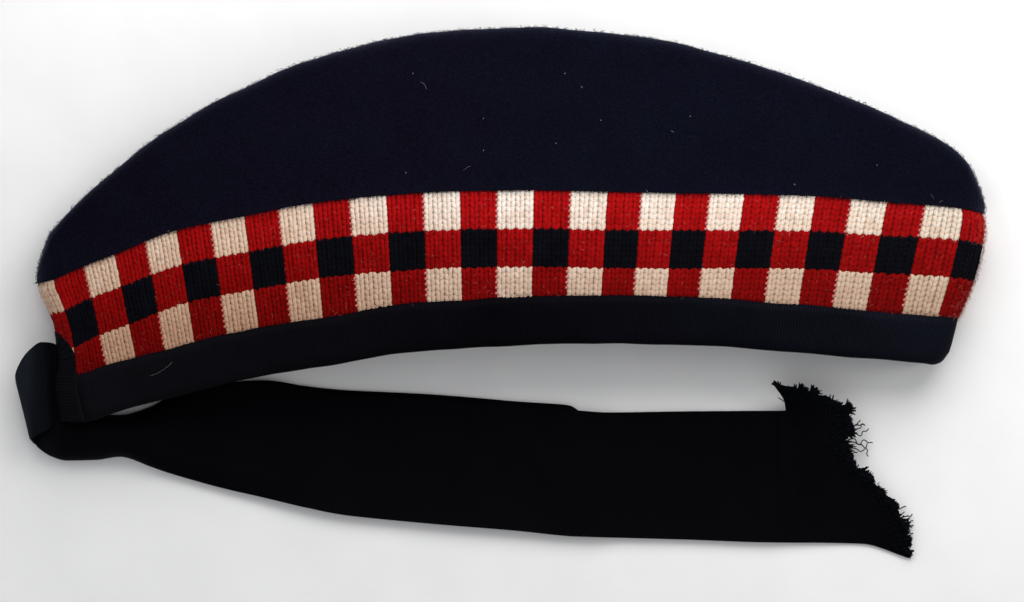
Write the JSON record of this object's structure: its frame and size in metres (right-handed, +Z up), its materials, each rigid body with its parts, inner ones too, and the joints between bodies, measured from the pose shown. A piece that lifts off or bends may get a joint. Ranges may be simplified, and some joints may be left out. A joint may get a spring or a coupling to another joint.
{
  "type": "glengarry cap",
  "caption": "Dark milled wool glengarry cap lying flat on its side, with a diced knitted band, ribbed ribbon edging and ribbon tails at the back.",
  "frame": {"origin": "on the table, under the middle of the whole cap and its tails", "axes": "+X from the back of the cap to its front, +Y from the rim up to the crown's ridge, +Z up from the table to the wearer's right side of the cap"},
  "size_m": [0.31, 0.1698, 0.0274],
  "materials": {
    "milled_wool": "milled and brushed wool, matt",
    "diced_knit": "plain knitted wool in red, cream and navy dice",
    "grosgrain": "ribbed ribbon, slight sheen",
    "tail_ribbon": "fine ribbed ribbon, slight sheen"
  },
  "bodies": {
    "root": {"crown": "milled_wool", "diced_band": "diced_knit", "rim_binding": "grosgrain", "slit_binding": "grosgrain", "tail_upper": "tail_ribbon", "tail_lower": "tail_ribbon"}
  },
  "joints": []
}
